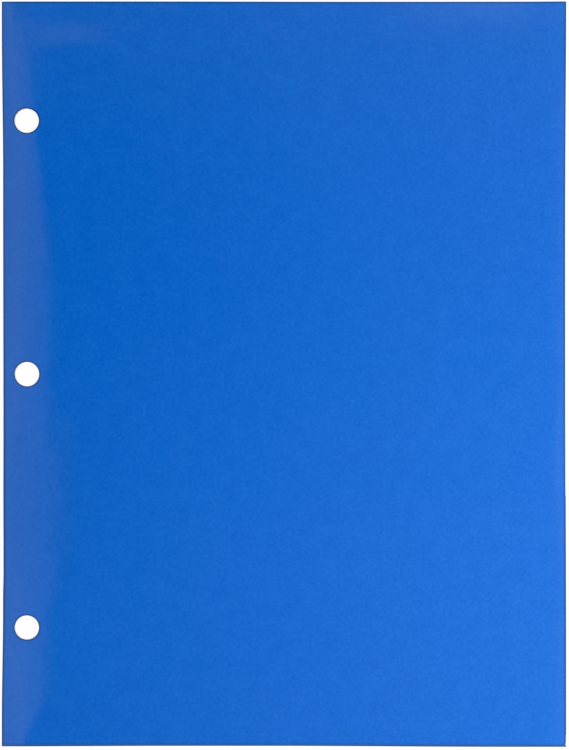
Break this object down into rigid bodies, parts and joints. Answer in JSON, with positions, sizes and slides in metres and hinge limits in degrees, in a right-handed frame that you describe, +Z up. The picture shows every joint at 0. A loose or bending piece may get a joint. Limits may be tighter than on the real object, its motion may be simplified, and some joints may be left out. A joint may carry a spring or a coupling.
{
  "type": "document folder",
  "caption": "Two-pocket document folder of glossy blue laminated card, creased along its spine and punched along it for a ring binder.",
  "frame": {"origin": "on the underside of the back cover, below the centre of the shut folder's box", "axes": "the shut folder lies on its back cover: +Z is up out of the front cover, +Y towards the top edge, +X from the spine to the open side"},
  "size_m": [0.2406, 0.3174, 0.0032],
  "materials": {
    "laminated_card": "gloss",
    "creased_card": "gloss",
    "dried_glue": "satin"
  },
  "bodies": {
    "back": {"back_cover": "laminated_card", "back_bottom_fold": "creased_card", "back_pocket": "laminated_card", "back_side_fold": "creased_card", "back_glue_tab": "laminated_card", "back_glue_line": "dried_glue", "spine_crease": "creased_card", "pocket_crease": "creased_card"},
    "front": {"front_cover": "laminated_card", "front_bottom_fold": "creased_card", "front_pocket": "laminated_card", "front_side_fold": "creased_card", "front_glue_tab": "laminated_card", "front_glue_line": "dried_glue"}
  },
  "joints": [
    {"name": "cover_hinge", "type": "hinge", "parent": "back", "child": "front", "pos_m": [-0.11985, 0, 0.0016], "axis": [0, -1, 0], "range_deg": [0, 179.8], "deforming": ["spine_crease", "pocket_crease"]}
  ]
}
